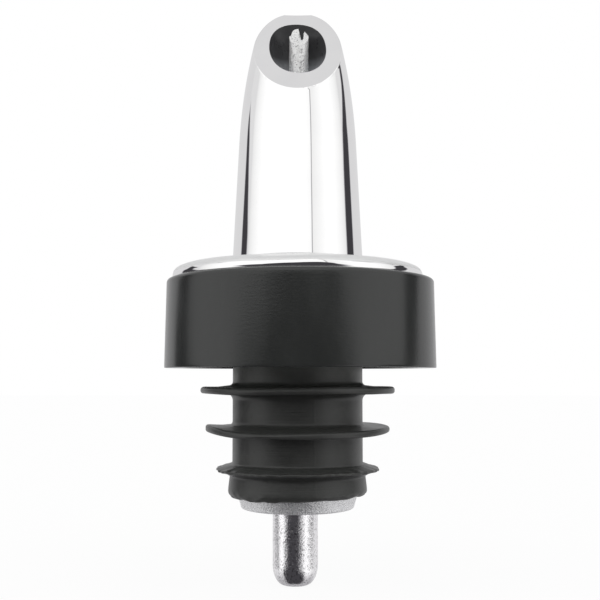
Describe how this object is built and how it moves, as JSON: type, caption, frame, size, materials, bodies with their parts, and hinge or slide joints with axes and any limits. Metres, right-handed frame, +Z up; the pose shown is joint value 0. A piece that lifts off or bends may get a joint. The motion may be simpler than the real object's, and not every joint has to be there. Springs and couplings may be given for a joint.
{
  "type": "liquor pour spout",
  "caption": "Bullet-nosed chrome pour spout with an oblique mouth and inner breather tube, a loose skirted collar, a finned cork sleeve and a ball-checked air tube below.",
  "frame": {"origin": "on the main axis, in the plane where the underside of the collar's web rests on the bottle's lip", "axes": "+Z up along the bottle's axis towards the snout's tip, -Y out of the mouth, +X to the right as seen from the mouth's side"},
  "size_m": [0.0351, 0.035, 0.0763],
  "materials": {
    "polished_chrome": "mirror polished chrome plate",
    "collar_plastic": "satin moulded plastic",
    "sleeve_rubber": "satin moulded elastomer",
    "foot_casting": "rough frosted die casting",
    "chamber_metal": "tumbled, slightly mottled metal",
    "bush_brass": "turned",
    "breather_metal": "rough frosted",
    "ball_steel": "polished"
  },
  "bodies": {
    "spout": {"spout_body": "polished_chrome", "cork_sleeve": "sleeve_rubber", "foot_ring": "foot_casting", "ball_chamber": "chamber_metal", "tube_bush": "bush_brass", "breather_tube": "breather_metal"},
    "collar": {"collar_ring": "collar_plastic"},
    "ball": {"check_ball": "ball_steel"}
  },
  "joints": [
    {"name": "collar_turn", "type": "hinge", "parent": "spout", "child": "collar", "pos_m": [0.00035, 0, 0], "axis": [0, 0, 1], "continuous": true},
    {"name": "ball_slide", "type": "slide", "parent": "spout", "child": "ball", "axis": [0, 0, 1], "range_m": [0, 0.0068]}
  ]
}
